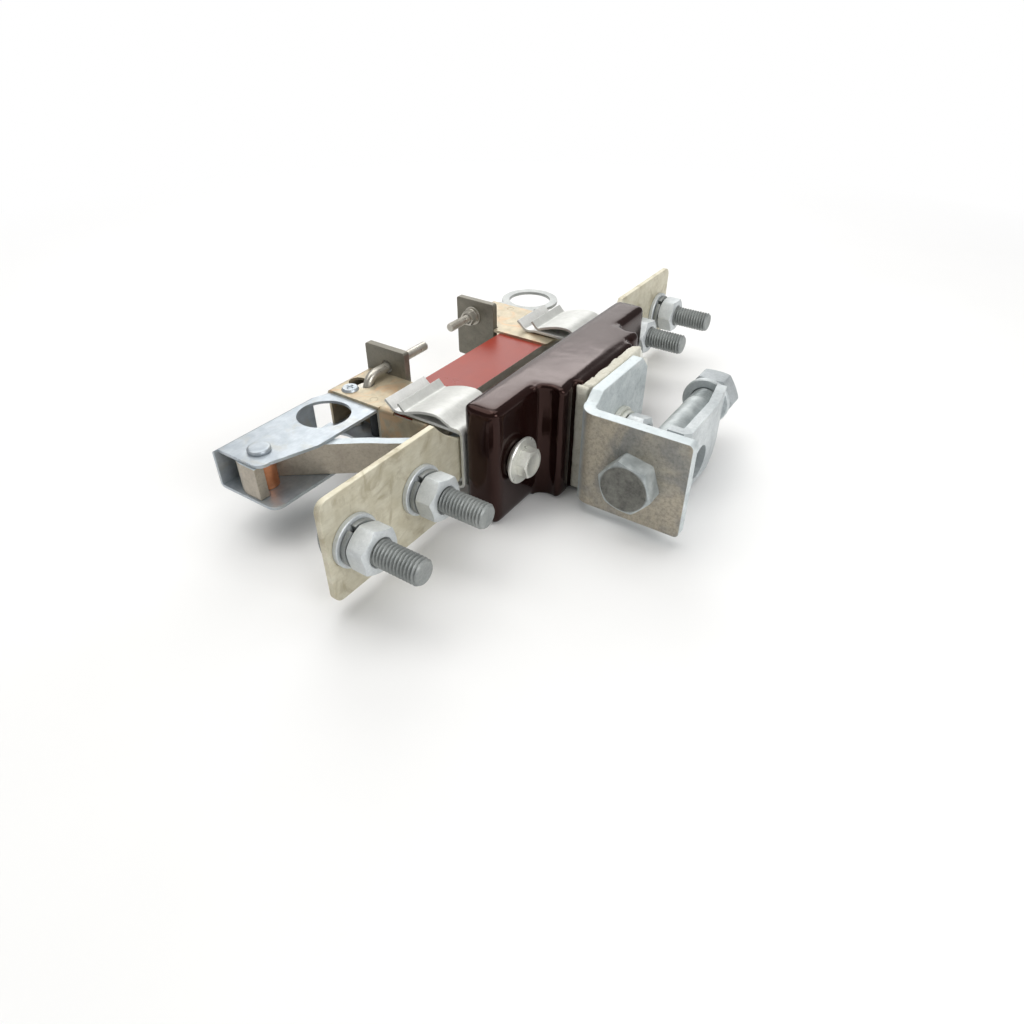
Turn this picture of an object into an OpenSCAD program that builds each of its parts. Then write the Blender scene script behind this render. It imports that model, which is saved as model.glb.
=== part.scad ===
// Low tension fuse switch, single pole, outdoor pattern.
// It lies on one side, the way it is put down on a bench.
// X runs from the fuse carrier side (-X) to the mounting bracket side (+X).
// Y runs from the hinge end, the lower terminal (-Y), to the pull ring end (+Y).
// Z is up, across the width of the porcelain bar.
// All X values are taken from the front face of the porcelain, then moved
// together by frame_dx so that the whole switch is centred.

/* [Porcelain bar] */
// length of the porcelain bar
ins_l = 152; // [130:1:180]
// height of the bar as it lies, which is its width on the pole
ins_h = 62; // [52:1:72]
// thickness of the two end sections
ins_t = 19; // [15:0.5:24]
// width of the thick middle section
core_w = 80; // [72:1:90]
// thickness of the middle section
core_t = 32.5; // [29:0.5:40]
// width of the mounting boss
boss_w = 54; // [48:1:60]
// step of the mounting boss above the middle section
boss_step = 2.5; // [1.5:0.5:4]
// rounding of the glazed edges
glaze_r = 4; // [2:0.5:6]

/* [Mounting bracket] */
// thickness of the cement bed between the boss and the bracket
cement_t = 5; // [3:0.5:8]
// plate thickness of the bent bracket
brk_t = 6; // [4:0.5:8]
// width of the front plate, the one with the clamp bolt
front_w = 50; // [44:1:56]
// reach of the front plate from the back plate's inner face
front_reach = 57; // [50:1:64]
// how far the back plate's edges stay inside the sides of the porcelain
brk_inset = 1.5; // [0.5:0.5:3]
// how far the back plate reaches towards the pull ring end
back_reach = 64.5; // [56:0.5:72]
// diameter of the bracket stud
brk_stud_d = 12; // [10:1:14]

/* [Crossarm clamp] */
// diameter of the clamp bolt
clamp_d = 16; // [12:1:18]
// length of the clamp bolt's shank
clamp_l = 112; // [104:1:125]
// distance from the front plate's outer face to the strap's hooked end
strap_at = 30; // [24:1:34]
// height of the clamp strap
strap_w = 38; // [32:1:42]
// thickness of the clamp strap
strap_t = 5; // [4:0.5:6]
// diameter of the spare hole in the clamp strap
strap_hole_d = 18; // [14:1:20]

/* [Terminals] */
// plate thickness of the terminals
term_t = 3; // [2:0.5:4]
// width of a terminal pad
term_w = 51; // [44:1:58]
// length of a terminal pad beyond the porcelain
pad_reach = 84.5; // [80:0.5:92]
// distance between the two studs of a terminal
stud_pitch = 42; // [38:1:48]
// distance from the middle of the switch to the nearer stud
stud_in = 104; // [101:0.5:106]
// thread diameter of the terminal studs
stud_d = 12; // [10:1:14]
// reach of the studs past the terminal plate
stud_reach = 37; // [30:1:42]

/* [Jaws] */
// width of a jaw along the switch
jaw_w = 31.5; // [28:0.5:34]
// sheet thickness of each jaw leaf
leaf_t = 1.5; // [1:0.1:1.6]
// reach of the contact leaves in front of the porcelain
leaf_reach = 48.5; // [46:0.5:51]
// diameter of the bolts that hold the jaws
fix_d = 8; // [6:1:8]

/* [Fuse carrier] */
// height of the carrier between its contact plates
car_h = 20; // [19:0.5:21]
// thickness of the contact plates
blade_t = 1.5; // [1.2:0.1:1.8]
// sheet thickness of the hinge yoke
yoke_t = 1.5; // [1:0.1:2]
// length of the hinge yoke in front of the lower contact plates
yoke_l = 69.5; // [66:0.5:74]
// width of the insulating board
board_w = 30; // [26:0.5:31]
// diameter of the pivot rivet
pivot_d = 6; // [5:0.5:6.5]
// diameter of the two lifting eyes
eye_d = 26.6; // [24:0.2:28]
// outer diameter of the pull ring
ring_d = 36.4; // [34:0.2:40]
// thickness of the hinge arm
arm_t = 5; // [4:0.5:5.5]
// height of the hinge arm
arm_h = 16.5; // [14:0.5:16.8]
// thickness of the two fuse tags
tag_t = 4; // [3:0.5:4.5]
// height of a fuse tag above the contact plate
tag_up = 14.5; // [13:0.5:18]

/* [Hidden] */
$fn = 48;
eps = 0.01;
z0 = ins_h / 2;

// porcelain and bracket
boss_t = core_t + boss_step;
end_l = (ins_l - core_w) / 2;
fix_y = core_w / 2 + 0.528 * end_l;
fix_washer_r = 0.32 * end_l;
fit = 0.05;
brk_x = boss_t + cement_t;
brk_face = brk_x + brk_t;
brk_y1 = boss_w / 2 - 5;
front_y = brk_y1 - back_reach;
bend_r = 3.5;
brk_half = z0 - brk_inset;
brk_flare = brk_half - front_w / 2;
front_x = brk_x + front_reach;
brk_stud_y = (front_y + brk_y1) / 2 + 2.5;
stud_end = brk_face + 16.5;
clamp_x = (brk_face + front_x) / 2;
clamp_hex = clamp_d * 1.5;
clamp_head = clamp_d * 0.625;
clamp_play = 1.5;
clamp_z = -clamp_play + fit;
strap_y = front_y + strap_at;
strap_in = clamp_x + clamp_d / 2 + 0.5;
strap_end = strap_y + 58;
strap_z = z0 - strap_w / 2 - 8;
clamp_washer_t = 3;
clamp_nut_t = clamp_d * 0.8;

// terminals and jaws
base_x = -2 * leaf_t;
plate_x = base_x - term_t;
pad_out = ins_l / 2 + pad_reach;
pad_in = stud_in - 13;
neck_h = 19;
stud_out = stud_in + stud_pitch;
stud_af = stud_d * 1.6;
stud_head = stud_d * 0.625;
washer_t = 2.5;
lock_t = 3;
stud_nut_t = stud_d * 0.8;
stud_free_r = stud_d / 2 - 0.3;
nut_face = plate_x + term_t + washer_t + lock_t + stud_nut_t;
arm_x = plate_x - arm_t;
fix_af = fix_d * 1.625;
jaw_mid = fix_y + 0.75;

// carrier
h1 = car_h / 2;
h2 = h1 + blade_t;
leaf_z = h2 + 0.3;
blade_x = -23;
web_x = -88;
blade_y = 74;
tag_y = 43.5;
tag_hi = 41;
board_x = -26;
pivot_x = -72.8;
pivot_y = -131.6;
yoke_x = -91;
yoke_y = -blade_y - yoke_l;
yoke_out = -54;
eye_y = 91.5;
sleeve_r = pivot_d / 2 + 2.8;
eye_in = sleeve_r + 0.1;
arm_dir = 37.9;
tag_x = -88;
tag_w = 27;
hook_x = -74;
hook_y = -59;
hook_r = 2.5;
hook_z = h2 + 4;
link_x = -76;
link_z = h2 + 5;

frame_dx = -(front_x + yoke_x) / 2;

// Helpers

// moves a piece from the porcelain's front face to the shared frame
module place() {
  translate([frame_dx, 0, z0])
    children();
}

// local +Z becomes +X
module to_x(x, y, z) {
  translate([x, y, z])
    rotate([0, 90, 0])
      children();
}

// local +Z becomes +Y
module to_y(x, y, z) {
  translate([x, y, z])
    rotate([-90, 0, 0])
      children();
}

// rectangle with rounded corners, lower left corner at the origin
module rounded(size, r) {
  translate([r, 0])
    square([size[0] - 2 * r, size[1]]);
  translate([0, r])
    square([size[0], size[1] - 2 * r]);
  for (x = [r, size[0] - r], y = [r, size[1] - r])
    translate([x, y])
      circle(r = r);
}

module hex(af, h, r_bore = 0) {
  corner = af / sqrt(3);
  c = (corner - af / 2) * 0.6;
  difference() {
    intersection() {
      cylinder(r = corner, h = h, $fn = 6);
      rotate_extrude()
        polygon([[0, 0], [af / 2, 0], [corner + 0.02, c], [corner + 0.02, h - c],
          [af / 2, h], [0, h]]);
    }
    if (r_bore > 0)
      translate([0, 0, -1])
        cylinder(r = r_bore, h = h + 2);
  }
}

module ring(r_out, r_in, h) {
  difference() {
    cylinder(r = r_out, h = h);
    translate([0, 0, -1])
      cylinder(r = r_in, h = h + 2);
  }
}

// split spring washer, cut at angle a
module lock_ring(r_out, r_in, h, a = 60) {
  difference() {
    ring(r_out, r_in, h);
    rotate([0, 0, a])
      translate([0, -0.9, -1])
        rotate([18, 0, 0])
          cube([r_out + 1, 1.4, h + 4]);
  }
}

function unit(v) = v / norm(v);
function left_of(v) = [-v[1], v[0]];
function seg_n(p, i) = left_of(unit(p[i + 1] - p[i]));
function mitre(p, i, h) =
  i == 0 ? seg_n(p, 0) * h :
  i == len(p) - 1 ? seg_n(p, i - 1) * h :
  let (m = unit(seg_n(p, i - 1) + seg_n(p, i))) m * h / (m * seg_n(p, i));
function arc_pts(c, r, a0, a1, n) =
  [for (i = [0:n]) c + r * [cos(a0 + (a1 - a0) * i / n), sin(a0 + (a1 - a0) * i / n)]];

// flat strip of thickness t along a line of points
module ribbon(p, t) {
  polygon(concat(
    [for (i = [0:len(p) - 1]) p[i] + mitre(p, i, t / 2)],
    [for (i = [len(p) - 1:-1:0]) p[i] - mitre(p, i, t / 2)]));
}

// Porcelain, cement and bracket

module edge_fillet(r) {
  difference() {
    translate([-0.5, -r])
      square([r + 0.5, r + 0.5]);
    translate([r, -r])
      circle(r = r);
    translate([r, -r])
      square([r, 2 * r]);
  }
}

module core_plan() {
  difference() {
    union() {
      translate([ins_t / 2, -core_w / 2])
        rounded([core_t - ins_t / 2, core_w], 3);
      for (s = [0, 1])
        mirror([0, s, 0])
          translate([ins_t, -core_w / 2])
            edge_fillet(4);
    }
    for (s = [-1, 1]) {
      translate([ins_t + 7, s * (core_w / 2 + 3.4)])
        circle(r = 4.6);
      translate([core_t + 0.4, s * (boss_w / 2 + 2.2)])
        circle(r = 2.2);
    }
  }
}

module profile_xz(x0, x1, h, r) {
  rotate([90, 0, 0])
    translate([0, 0, -ins_l])
      linear_extrude(2 * ins_l)
        translate([x0, -h / 2])
          rounded([x1 - x0, h], r);
}

module insulator() {
  color([0.17, 0.07, 0.06])
    place()
      difference() {
        union() {
          intersection() {
            translate([0, -ins_l / 2, -z0])
              linear_extrude(ins_h)
                rounded([ins_t, ins_l], glaze_r + 1);
            profile_xz(0, ins_t, ins_h, glaze_r);
            rotate([90, 0, 90])
              translate([-ins_l / 2, -z0, -1])
                linear_extrude(ins_t + 2)
                  rounded([ins_l, ins_h], glaze_r);
          }
          intersection() {
            translate([0, 0, -z0])
              linear_extrude(ins_h)
                core_plan();
            profile_xz(glaze_r + 0.2, core_t, ins_h, glaze_r);
          }
          intersection() {
            translate([ins_t, -boss_w / 2, -z0])
              linear_extrude(ins_h)
                rounded([boss_t - ins_t, boss_w], 1.2);
            profile_xz(glaze_r + 0.2, boss_t, ins_h - 1, 1.5);
          }
        }
        for (s = [-1, 1])
          to_x(-1, s * fix_y, 0)
            cylinder(r = fix_d / 2 + 0.5, h = ins_t + 2);
        to_x(boss_t - 13, brk_stud_y, 0)
          cylinder(r = brk_stud_d / 2 + 5, h = 14);
      }
}

module cement_pad() {
  color([0.84, 0.82, 0.74])
    place()
      difference() {
        union() {
          translate([boss_t, -boss_w / 2 + 0.5, -z0 + 1])
            cube([cement_t, boss_w - 2, ins_h - 2]);
          to_x(boss_t - 13, brk_stud_y, 0)
            cylinder(r = brk_stud_d / 2 + 5, h = 13 + eps);
        }
        to_x(boss_t - 10, brk_stud_y, 0)
          cylinder(r = brk_stud_d / 2 + fit, h = 10 + cement_t + 1);
        to_x(boss_t - 10, brk_stud_y, 0)
          cylinder(r = brk_stud_d / 2 + 3 + fit, h = 5);
      }
}

module back_outline() {
  h = front_w / 2;
  f = brk_half;
  y0 = front_y + brk_t + 3.5;
  y1 = brk_y1;
  c = 7;
  polygon([[front_y - 1, -h], [y0, -h], [y0 + 1.2 * brk_flare, -f], [y1 - c, -f], [y1, -f + c],
    [y1, f - c], [y1 - c, f], [y0 + 1.2 * brk_flare, f], [y0, h], [front_y - 1, h]]);
}

module mounting_bracket() {
  c = [brk_face + bend_r, front_y + brk_t + bend_r];
  color([0.62, 0.65, 0.66])
    place()
      difference() {
        intersection() {
          translate([0, 0, -40])
            linear_extrude(80)
              union() {
                translate([brk_x, c[1]])
                  square([brk_t, brk_y1 - c[1]]);
                translate([c[0], front_y])
                  square([front_x - c[0], brk_t]);
                intersection() {
                  difference() {
                    translate(c)
                      circle(r = brk_t + bend_r);
                    translate(c)
                      circle(r = bend_r);
                  }
                  translate([brk_x, front_y])
                    square([brk_t + bend_r, brk_t + bend_r]);
                }
              }
          union() {
            rotate([90, 0, 90])
              translate([0, 0, brk_x - 1])
                linear_extrude(brk_t + 1 + bend_r)
                  back_outline();
            rotate([90, 0, 0])
              translate([c[0] - 10, -front_w / 2, -front_y - brk_t - 1])
                linear_extrude(brk_t + 2)
                  rounded([front_x - c[0] + 10, front_w], 2.5);
          }
        }
        to_x(brk_x - 1, brk_stud_y, 0)
          cylinder(r = brk_stud_d / 2 + 0.75, h = brk_t + 2);
        to_y(clamp_x, front_y - 1, 0)
          cylinder(r = clamp_d / 2 + clamp_play, h = brk_t + 2);
      }
}

module bracket_stud() {
  color([0.55, 0.57, 0.58])
    place() {
      to_x(boss_t - 10, brk_stud_y, 0)
        cylinder(r = brk_stud_d / 2 + 3, h = 5);
      to_x(boss_t - 10, brk_stud_y, 0)
        cylinder(r = brk_stud_d / 2, h = stud_end - boss_t + 9);
      to_x(stud_end - 1, brk_stud_y, 0)
        cylinder(r1 = brk_stud_d / 2, r2 = brk_stud_d / 2 - 1, h = 1);
    }
}

module bracket_washer() {
  color([0.66, 0.68, 0.68])
    place()
      to_x(brk_face, brk_stud_y, 0)
        ring(brk_stud_d, brk_stud_d / 2 + 0.5, washer_t);
}

module bracket_lock_washer() {
  color([0.60, 0.62, 0.63])
    place()
      to_x(brk_face + washer_t, brk_stud_y, 0)
        lock_ring(brk_stud_d * 0.88, brk_stud_d / 2 + 0.2, lock_t, 250);
}

module bracket_nut() {
  color([0.62, 0.65, 0.66])
    place()
      to_x(brk_face + washer_t + lock_t, brk_stud_y, 0)
        rotate([0, 0, 10])
          hex(brk_stud_d * 1.58, brk_stud_d * 0.8, brk_stud_d / 2 + 0.1);
}

// Crossarm clamp

module clamp_bolt() {
  color([0.55, 0.57, 0.58])
    place() {
      to_y(clamp_x, front_y - clamp_head, clamp_z)
        rotate([0, 0, 30])
          hex(clamp_hex, clamp_head);
      to_y(clamp_x, front_y - 1, clamp_z)
        cylinder(r = clamp_d / 2, h = clamp_l - 1);
      to_y(clamp_x, front_y + clamp_l - 2, clamp_z)
        cylinder(r1 = clamp_d / 2, r2 = clamp_d / 2 - 1.5, h = 1.5);
    }
}

module clamp_strap() {
  xm = strap_in + strap_t / 2;
  run = [[xm - 9, strap_y + strap_t / 2], [xm - 1.5, strap_y + strap_t / 2],
    [xm, strap_y + strap_t / 2 + 1.5], [xm, strap_y + 37], [xm - 3.4, strap_end],
    [xm - 3.8, strap_end + 2]];
  color([0.74, 0.76, 0.77])
    place()
      difference() {
        intersection() {
          translate([0, 0, strap_z - z0])
            linear_extrude(strap_w)
              ribbon(run, strap_t);
          rotate([90, 0, 90])
            translate([strap_y - 1, strap_z - z0, 0])
              linear_extrude(200)
                union() {
                  translate([-10, 0])
                    square([50, strap_w]);
                  rounded([strap_end - strap_y + 1, strap_w], 8);
                  translate([30, strap_w / 2])
                    square([strap_end - strap_y - 29, strap_w / 2]);
                }
        }
        to_y(clamp_x, strap_y - 5, clamp_z)
          cylinder(r = clamp_d / 2 + 0.4, h = 80);
        to_x(strap_in - 5, strap_y + 21.5, strap_z - z0 + strap_hole_d / 2 + 3)
          cylinder(r = strap_hole_d / 2, h = 20);
      }
}

module clamp_washer() {
  color([0.66, 0.68, 0.68])
    place()
      to_y(clamp_x, strap_end, clamp_z)
        ring(clamp_d * 0.94, clamp_d / 2 + 0.5, clamp_washer_t);
}

module clamp_nut() {
  color([0.62, 0.65, 0.66])
    place()
      to_y(clamp_x, strap_end + clamp_washer_t, clamp_z)
        rotate([0, 0, 12])
          hex(clamp_hex, clamp_nut_t, clamp_d / 2 + 0.1);
}

// Terminals

// s = -1 for the lower terminal, 1 for the upper one
module terminal(s) {
  h = term_w / 2;
  n = neck_h / 2;
  y_neck = ins_l / 2 - 5;
  chord = [pad_in - y_neck, h - n];
  mid = [(pad_in + y_neck) / 2, (h + n) / 2];
  far = mid + unit([-chord[1], chord[0]]) * 50;
  color([0.80, 0.79, 0.74])
    place()
      rotate([90, 0, 90])
        translate([0, 0, plate_x])
          mirror([s < 0 ? 1 : 0, 0, 0])
            difference() {
              linear_extrude(term_t)
                difference() {
                  union() {
                    translate([pad_in, -h])
                      square([10, term_w]);
                    translate([pad_in, -h])
                      rounded([pad_out - pad_in, term_w], 5);
                    polygon([[y_neck, -n], [pad_in, -h], [pad_in + 1, -h], [pad_in + 1, h],
                      [pad_in, h], [y_neck, n]]);
                    translate([fix_y, -n])
                      square([pad_in - fix_y, neck_h]);
                    translate([fix_y, 0])
                      circle(r = n);
                  }
                  for (k = [0, 1])
                    mirror([0, k, 0])
                      translate(far)
                        circle(r = sqrt(2500 + chord * chord / 4), $fn = 180);
                }
              translate([fix_y, 0, -1])
                cylinder(r = fix_d / 2 + 0.5, h = term_t + 2);
              for (y = [stud_in, stud_out])
                translate([y, 0, -1])
                  cylinder(r = stud_d / 2 + 0.75, h = term_t + 2);
            }
}

module lower_terminal() {
  terminal(-1);
}

module upper_terminal() {
  terminal(1);
}

module at_studs() {
  for (y = [-stud_out, -stud_in, stud_in, stud_out])
    translate([0, y, 0])
      children();
}

module terminal_bolts() {
  color([0.50, 0.52, 0.53])
    place()
      at_studs() {
        to_x(plate_x - stud_head, 0, 0)
          hex(stud_af, stud_head);
        to_x(plate_x - 1, 0, 0)
          cylinder(r = stud_d / 2, h = nut_face - plate_x + 1.5);
        to_x(nut_face, 0, 0)
          cylinder(r = stud_free_r, h = plate_x + term_t + stud_reach - 1 - nut_face);
        to_x(plate_x + term_t + stud_reach - 1, 0, 0)
          cylinder(r1 = stud_free_r, r2 = stud_free_r - 0.9, h = 1.2);
      }
}

module terminal_washers() {
  color([0.66, 0.68, 0.68])
    place()
      at_studs()
        to_x(plate_x + term_t, 0, 0)
          ring(stud_d, stud_d / 2 + 0.5, washer_t);
}

module terminal_lock_washers() {
  color([0.60, 0.62, 0.63])
    place()
      at_studs()
        to_x(plate_x + term_t + washer_t, 0, 0)
          lock_ring(stud_d * 0.88, stud_d / 2 + 0.2, lock_t, 200);
}

module terminal_nuts() {
  color([0.62, 0.65, 0.66])
    place()
      at_studs()
        to_x(plate_x + term_t + washer_t + lock_t, 0, 0)
          rotate([0, 0, 8])
            hex(stud_af, stud_nut_t, stud_d / 2 + 0.1);
}

// Jaws

// the two leaves of a jaw, bent from one strip; half_run is the upper half of the strip
module jaw_strip(y, w, half_run) {
  n = len(half_run);
  full = concat([for (i = [0:n - 1]) half_run[i]],
    [for (i = [n - 1:-1:0]) [half_run[i][0], -half_run[i][1]]]);
  translate([0, y + w / 2, 0])
    rotate([90, 0, 0])
      linear_extrude(w)
        ribbon(full, leaf_t);
}

module jaw_body(s) {
  zc = leaf_z + leaf_t / 2;
  x_base = base_x + leaf_t / 2;
  run = concat(
    [[-leaf_reach, zc + 4.6], [-leaf_reach + 5, zc + 0.4]],
    [[-leaf_reach + 6.5, zc], [-leaf_reach + 9, zc], [-leaf_reach + 12, zc + 0.7]],
    arc_pts([x_base - 2.4, zc - 1.7], 2.4, 90, 0, 5));
  color([0.87, 0.87, 0.86])
    place()
      difference() {
        jaw_strip(s * (jaw_mid - 1), jaw_w - 2, run);
        to_x(base_x - 1, s * fix_y, 0)
          cylinder(r = fix_d / 2 + 0.5, h = 5);
      }
}

module jaw_spring(s) {
  zc = leaf_z + leaf_t * 1.5 + 1;
  x_base = -leaf_t / 2;
  run = concat(
    [[-leaf_reach + 10, zc + 3.7]],
    arc_pts([-leaf_reach + 14.7, zc + 2.4], 2.4, 225, 279, 4),
    [for (i = [1:7]) [-leaf_reach + 15 + i * 2.6, zc + 0.1 + 4.3 * sin(i * 13)]],
    [[-13, zc + 3.9], [-9.5, zc + 2.2], [-6.5, zc + 0.7]],
    arc_pts([x_base - 2.6, zc - 2], 2.6, 90, 0, 5));
  color([0.90, 0.90, 0.89])
    place()
      difference() {
        jaw_strip(s * jaw_mid, jaw_w, run);
        to_x(base_x - 1, s * fix_y, 0)
          cylinder(r = fix_d / 2 + 0.5, h = 5);
      }
}

module lower_jaw() {
  jaw_body(-1);
}

module upper_jaw() {
  jaw_body(1);
}

module lower_jaw_spring() {
  jaw_spring(-1);
}

module upper_jaw_spring() {
  jaw_spring(1);
}

module contact_bolts() {
  x_head = ins_t + 4;
  color([0.72, 0.72, 0.70])
    place()
      for (s = [-1, 1])
        translate([0, s * fix_y, 0]) {
          to_x(x_head, 0, 0)
            rotate([0, 0, 18])
              hex(fix_af, 5.5);
          to_x(-20, 0, 0)
            cylinder(r = fix_d / 2, h = x_head + 21);
        }
}

module contact_washers() {
  color([0.74, 0.75, 0.75])
    place()
      for (s = [-1, 1])
        to_x(ins_t + 2.5, s * fix_y, 0)
          ring(fix_washer_r, fix_d / 2 + 0.3, 1.5);
}

module contact_lock_washers() {
  color([0.68, 0.69, 0.69])
    place()
      for (s = [-1, 1])
        to_x(ins_t, s * fix_y, 0)
          lock_ring(0.82 * fix_washer_r, fix_d / 2 + 0.2, 2.5, 150);
}

module contact_nuts() {
  color([0.66, 0.67, 0.67])
    place() {
      to_x(arm_x - 6.5, -fix_y, 0)
        hex(fix_af, 6.5, fix_d / 2 + 0.1);
      to_x(plate_x - 6.5, fix_y, 0)
        hex(fix_af, 6.5, fix_d / 2 + 0.1);
    }
}

// Hinge

module arm_plan() {
  r = eye_in + arm_t / 2;
  p = [pivot_x, pivot_y];
  start = p + r * [cos(arm_dir + 90), sin(arm_dir + 90)];
  xf = plate_x - arm_t / 2;
  bend = start + 42.7 * [cos(arm_dir), sin(arm_dir)];
  run = concat(
    [[pivot_x + 8.5, pivot_y - r]],
    [[pivot_x, pivot_y - r]],
    arc_pts(p, r, 262, arm_dir + 98, 16),
    [start],
    arc_pts(bend + 80 * [sin(arm_dir), -cos(arm_dir)], 80, arm_dir + 90, arm_dir + 80, 4),
    [[xf - 12, -ins_l / 2 - 6.5], [xf - 2.5, -ins_l / 2 - 1]],
    [[xf, -ins_l / 2 + 3], [xf, -fix_y + 12]]);
  ribbon(run, arm_t);
}

module hinge_arm() {
  color([0.60, 0.55, 0.50])
    place()
      difference() {
        translate([0, 0, -arm_h / 2])
          linear_extrude(arm_h)
            arm_plan();
        translate([pivot_x, pivot_y, -arm_h])
          cylinder(r = eye_in, h = 2 * arm_h);
        to_x(arm_x - 2, -fix_y, 0)
          cylinder(r = fix_d / 2 + 0.5, h = arm_t + 4);
      }
}

module pivot_sleeve() {
  color([0.75, 0.42, 0.26])
    place()
      translate([pivot_x, pivot_y, -h1 + yoke_t + 0.2])
        ring(sleeve_r, pivot_d / 2 + 0.08, 2 * (h1 - yoke_t - 0.2));
}

module pivot_rivet() {
  color([0.78, 0.80, 0.82])
    place() {
      translate([pivot_x, pivot_y, -h1 - 1])
        cylinder(r = pivot_d / 2, h = car_h + 2);
      for (k = [0, 1])
        mirror([0, 0, k])
          translate([pivot_x, pivot_y, h1]) {
            cylinder(r = 5.4, h = 1.5);
            translate([0, 0, 1.5])
              cylinder(r1 = 5.4, r2 = 4.6, h = 0.7);
          }
    }
}

module yoke_flange(top) {
  y_end = -blade_y - 0.3;
  tongue_x = web_x + blade_t + 0.3;
  difference() {
    union() {
      if (top)
        polygon([[yoke_x + yoke_t, yoke_y + 2], [yoke_out - 12, yoke_y + 2],
          [yoke_out - 7, yoke_y + 9], [yoke_out, yoke_y + 30], [yoke_out, y_end],
          [tongue_x, y_end], [yoke_x + yoke_t, y_end - 9.2]]);
      else {
        translate([yoke_x + yoke_t, yoke_y])
          square([yoke_out - yoke_x - yoke_t - 6, 12]);
        translate([yoke_x + 10, yoke_y])
          rounded([yoke_out - yoke_x - 10, 20], 5);
        translate([yoke_x + yoke_t, yoke_y + 8])
          square([yoke_out - yoke_x - yoke_t, y_end - yoke_y - 8]);
      }
      if (top)
        translate([yoke_out - 12.3, yoke_y + 7])
          circle(r = 5);
      translate([tongue_x, y_end - 1])
        square([board_x - board_w - 0.3 - tongue_x, 12.1]);
    }
    translate([pivot_x, -eye_y])
      circle(d = eye_d);
  }
}

module hinge_yoke() {
  r = yoke_t + 0.8;
  color([0.74, 0.79, 0.84])
    place()
      difference() {
        union() {
          translate([yoke_x, yoke_y, -h1])
            cube([yoke_t, yoke_l - 9.5, car_h]);
          translate([0, 0, h1 - yoke_t])
            linear_extrude(yoke_t)
              yoke_flange(true);
          translate([0, 0, -h1])
            linear_extrude(yoke_t)
              yoke_flange(false);
        }
        for (k = [0, 1])
          mirror([0, 0, k]) {
            difference() {
              translate([yoke_x - 1, yoke_y - 1, h1 - r])
                cube([r + 1, 100, r + 1]);
              translate([yoke_x + r, yoke_y - 2, h1 - r])
                rotate([-90, 0, 0])
                  cylinder(r = r, h = 110);
            }
          }
        translate([pivot_x, pivot_y, -20])
          cylinder(r = pivot_d / 2 + fit, h = 40);
        translate([web_x + 10, -blade_y + 6.5, -20])
          cylinder(r = 2.7, h = 40);
        translate([web_x + 27.4, -blade_y + 5.3, -20])
          cylinder(r = 2 + fit, h = 40);
      }
}

// Fuse carrier

// contact plate pair, drawn for the lower end; it wraps round the end of the board
module blade(inner_y, notch) {
  r = blade_t + 1;
  difference() {
    union() {
      for (k = [0, 1])
        mirror([0, 0, k])
          translate([0, 0, h1])
            linear_extrude(blade_t)
              difference() {
                union() {
                  translate([web_x + 2, -blade_y])
                    square([blade_x - web_x - 4, blade_y - inner_y]);
                  translate([web_x, -blade_y])
                    rounded([blade_x - web_x, blade_y - inner_y], 1.5);
                }
                if (notch)
                  translate([web_x - 1, -tag_hi])
                    square([tag_w + 2, tag_hi]);
              }
      translate([web_x, -blade_y, -h2])
        cube([blade_t, blade_y - (notch ? tag_hi : tag_y), 2 * h2]);
      translate([yoke_out + 1, -blade_y, -h2])
        cube([blade_x - yoke_out - 2, blade_t, 2 * h2]);
    }
    for (k = [0, 1])
      mirror([0, 0, k]) {
        difference() {
          translate([web_x - 1, -blade_y - 1, h2 - r])
            cube([r + 1, 100, r + 1]);
          translate([web_x + r, -blade_y - 2, h2 - r])
            rotate([-90, 0, 0])
              cylinder(r = r, h = 110);
        }
        difference() {
          translate([yoke_out + 1, -blade_y - 1, h2 - r])
            cube([60, r + 1, r + 1]);
          translate([yoke_out, -blade_y + r, h2 - r])
            rotate([0, 90, 0])
              cylinder(r = r, h = 70);
        }
      }
    translate([yoke_out - 6, -blade_y - 1, h1 - 8])
      cube([7, 3, 7.9]);
  }
}

module lower_blade() {
  color([0.78, 0.66, 0.46])
    place()
      difference() {
        blade(tag_y, false);
        translate([web_x + 10, -blade_y + 6.5, -20])
          cylinder(r = 2.7, h = 40);
        translate([web_x + 27.4, -blade_y + 5.3, -20])
          cylinder(r = 2 + fit, h = 40);
        rivet_holes(-1);
        rod_slot();
        translate([blade_x - 15, -blade_y + 0.9, h2 - 0.9])
          rotate([45, 0, 0])
            cube([12, 1.8, 8], center = true);
      }
}

// slot in the contact plate that the hook rod drops through
module rod_slot() {
  translate([hook_x - 4, hook_y, h1 - 1])
    linear_extrude(blade_t + 2) {
      translate([-3, -4.5])
        square([6, 9]);
      translate([-3, 0])
        circle(r = 4.5);
      translate([3, 0])
        circle(r = 4.5);
    }
}

module rivet_holes(s) {
  for (x = [board_x - 7, board_x - 23], y = [50, 66])
    translate([x, s * y, -30])
      cylinder(r = 2 + fit, h = 60);
}

module upper_blade() {
  color([0.80, 0.68, 0.48])
    place()
      difference() {
        mirror([0, 1, 0])
          blade(36, true);
        rivet_holes(1);
        for (y = [53, 69])
          translate([-70, y, 0])
            cylinder(r = 2 + fit, h = 40);
        translate([-78, 61, 0])
          cylinder(r = 1.4, h = 40);
      }
}

module carrier_board() {
  color([0.66, 0.24, 0.20])
    place()
      difference() {
        translate([board_x - board_w, -blade_y + blade_t, -h1])
          cube([board_w, 2 * (blade_y - blade_t), car_h]);
        rivet_holes(-1);
        rivet_holes(1);
      }
}

module board_rivets() {
  color([0.76, 0.62, 0.42])
    place()
      for (x = [board_x - 7, board_x - 23], y = [-66, -50, 50, 66])
        translate([x, y, -h2])
          cylinder(r = 2, h = 2 * h2);
}

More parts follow.
